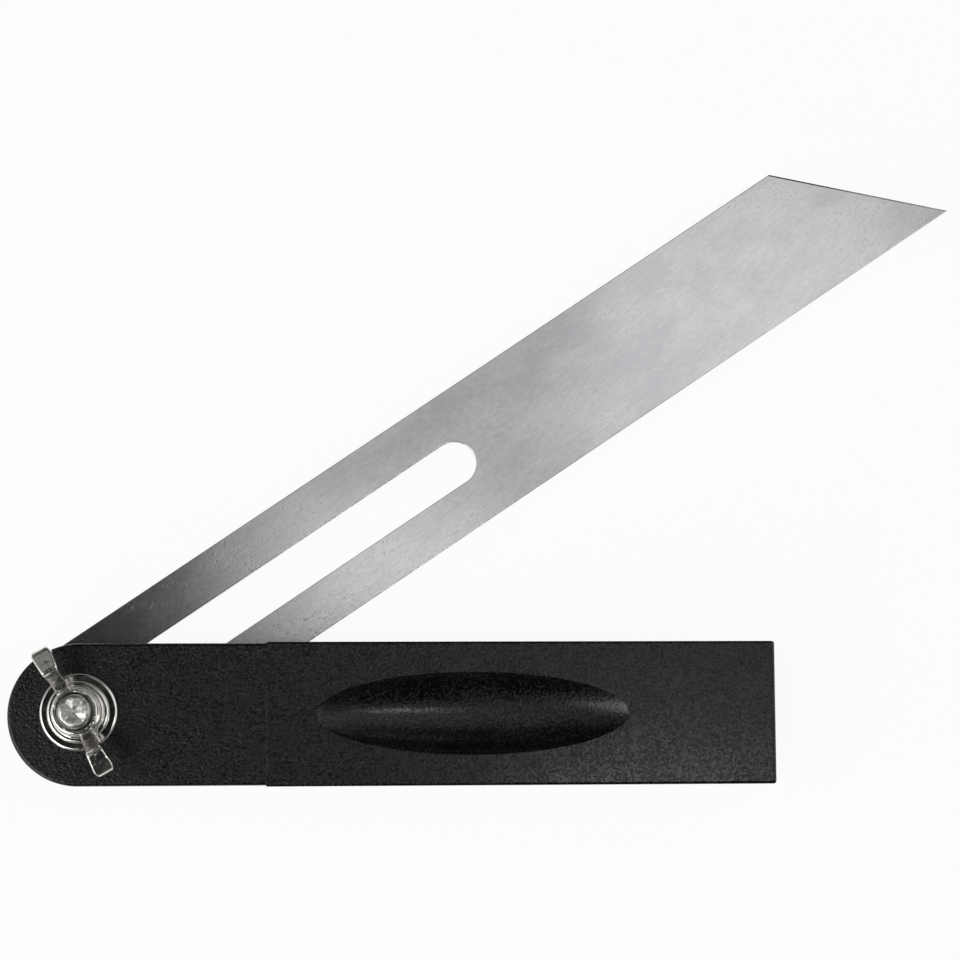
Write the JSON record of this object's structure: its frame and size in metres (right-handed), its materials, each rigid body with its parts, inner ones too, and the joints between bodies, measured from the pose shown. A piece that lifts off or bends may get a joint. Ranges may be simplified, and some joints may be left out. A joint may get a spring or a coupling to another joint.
{
  "type": "sliding bevel",
  "caption": "Sliding bevel with a slotted steel blade that turns and slides on a wing-nut bolt in a moulded handle.",
  "frame": {"origin": "on the pivot bolt's axis, at the outer face of its sunk head, flush with the back of the grip", "axes": "+Z along the bolt towards the wing nut, +X along the handle towards its butt, +Y towards the edge that the blade opens from"},
  "size_m": [0.1805, 0.1183, 0.0302],
  "materials": {
    "black_abs": "black moulded plastic with a fine pebbled grain",
    "brushed_steel": "steel sheet brushed along its length",
    "nickel_plate": "bright nickel plate, slightly warm",
    "black_nylon": "plain black nylon sheet"
  },
  "bodies": {
    "handle": {"handle": "black_abs", "pivot_bolt": "nickel_plate", "face_washer": "nickel_plate"},
    "friction_washers": {"front_friction_washer": "black_nylon", "back_friction_washer": "black_nylon"},
    "blade": {"blade": "brushed_steel"},
    "nut_washer": {"nut_washer": "nickel_plate"},
    "wing_nut": {"wing_nut": "nickel_plate"}
  },
  "joints": [
    {"name": "blade_turn", "type": "hinge", "parent": "handle", "child": "friction_washers", "pos_m": [0, 0, 0.00825], "axis": [0, 0, 1], "range_deg": [-32, 284]},
    {"name": "blade_slide", "type": "slide", "parent": "friction_washers", "child": "blade", "axis": [-0.829, -0.5592, 0], "range_m": [0, 0.0845]},
    {"name": "nut_travel", "type": "slide", "parent": "handle", "child": "nut_washer", "axis": [0, 0, 1], "range_m": [0, 0.00116]},
    {"name": "nut_turn", "type": "hinge", "parent": "nut_washer", "child": "wing_nut", "pos_m": [0, 0, 0.0188], "axis": [0, 0, 1], "range_deg": [0, 330]}
  ],
  "couplings": [
    {"joint": "nut_travel", "follows": "nut_turn", "m_per_rad": 0.00020213}
  ]
}
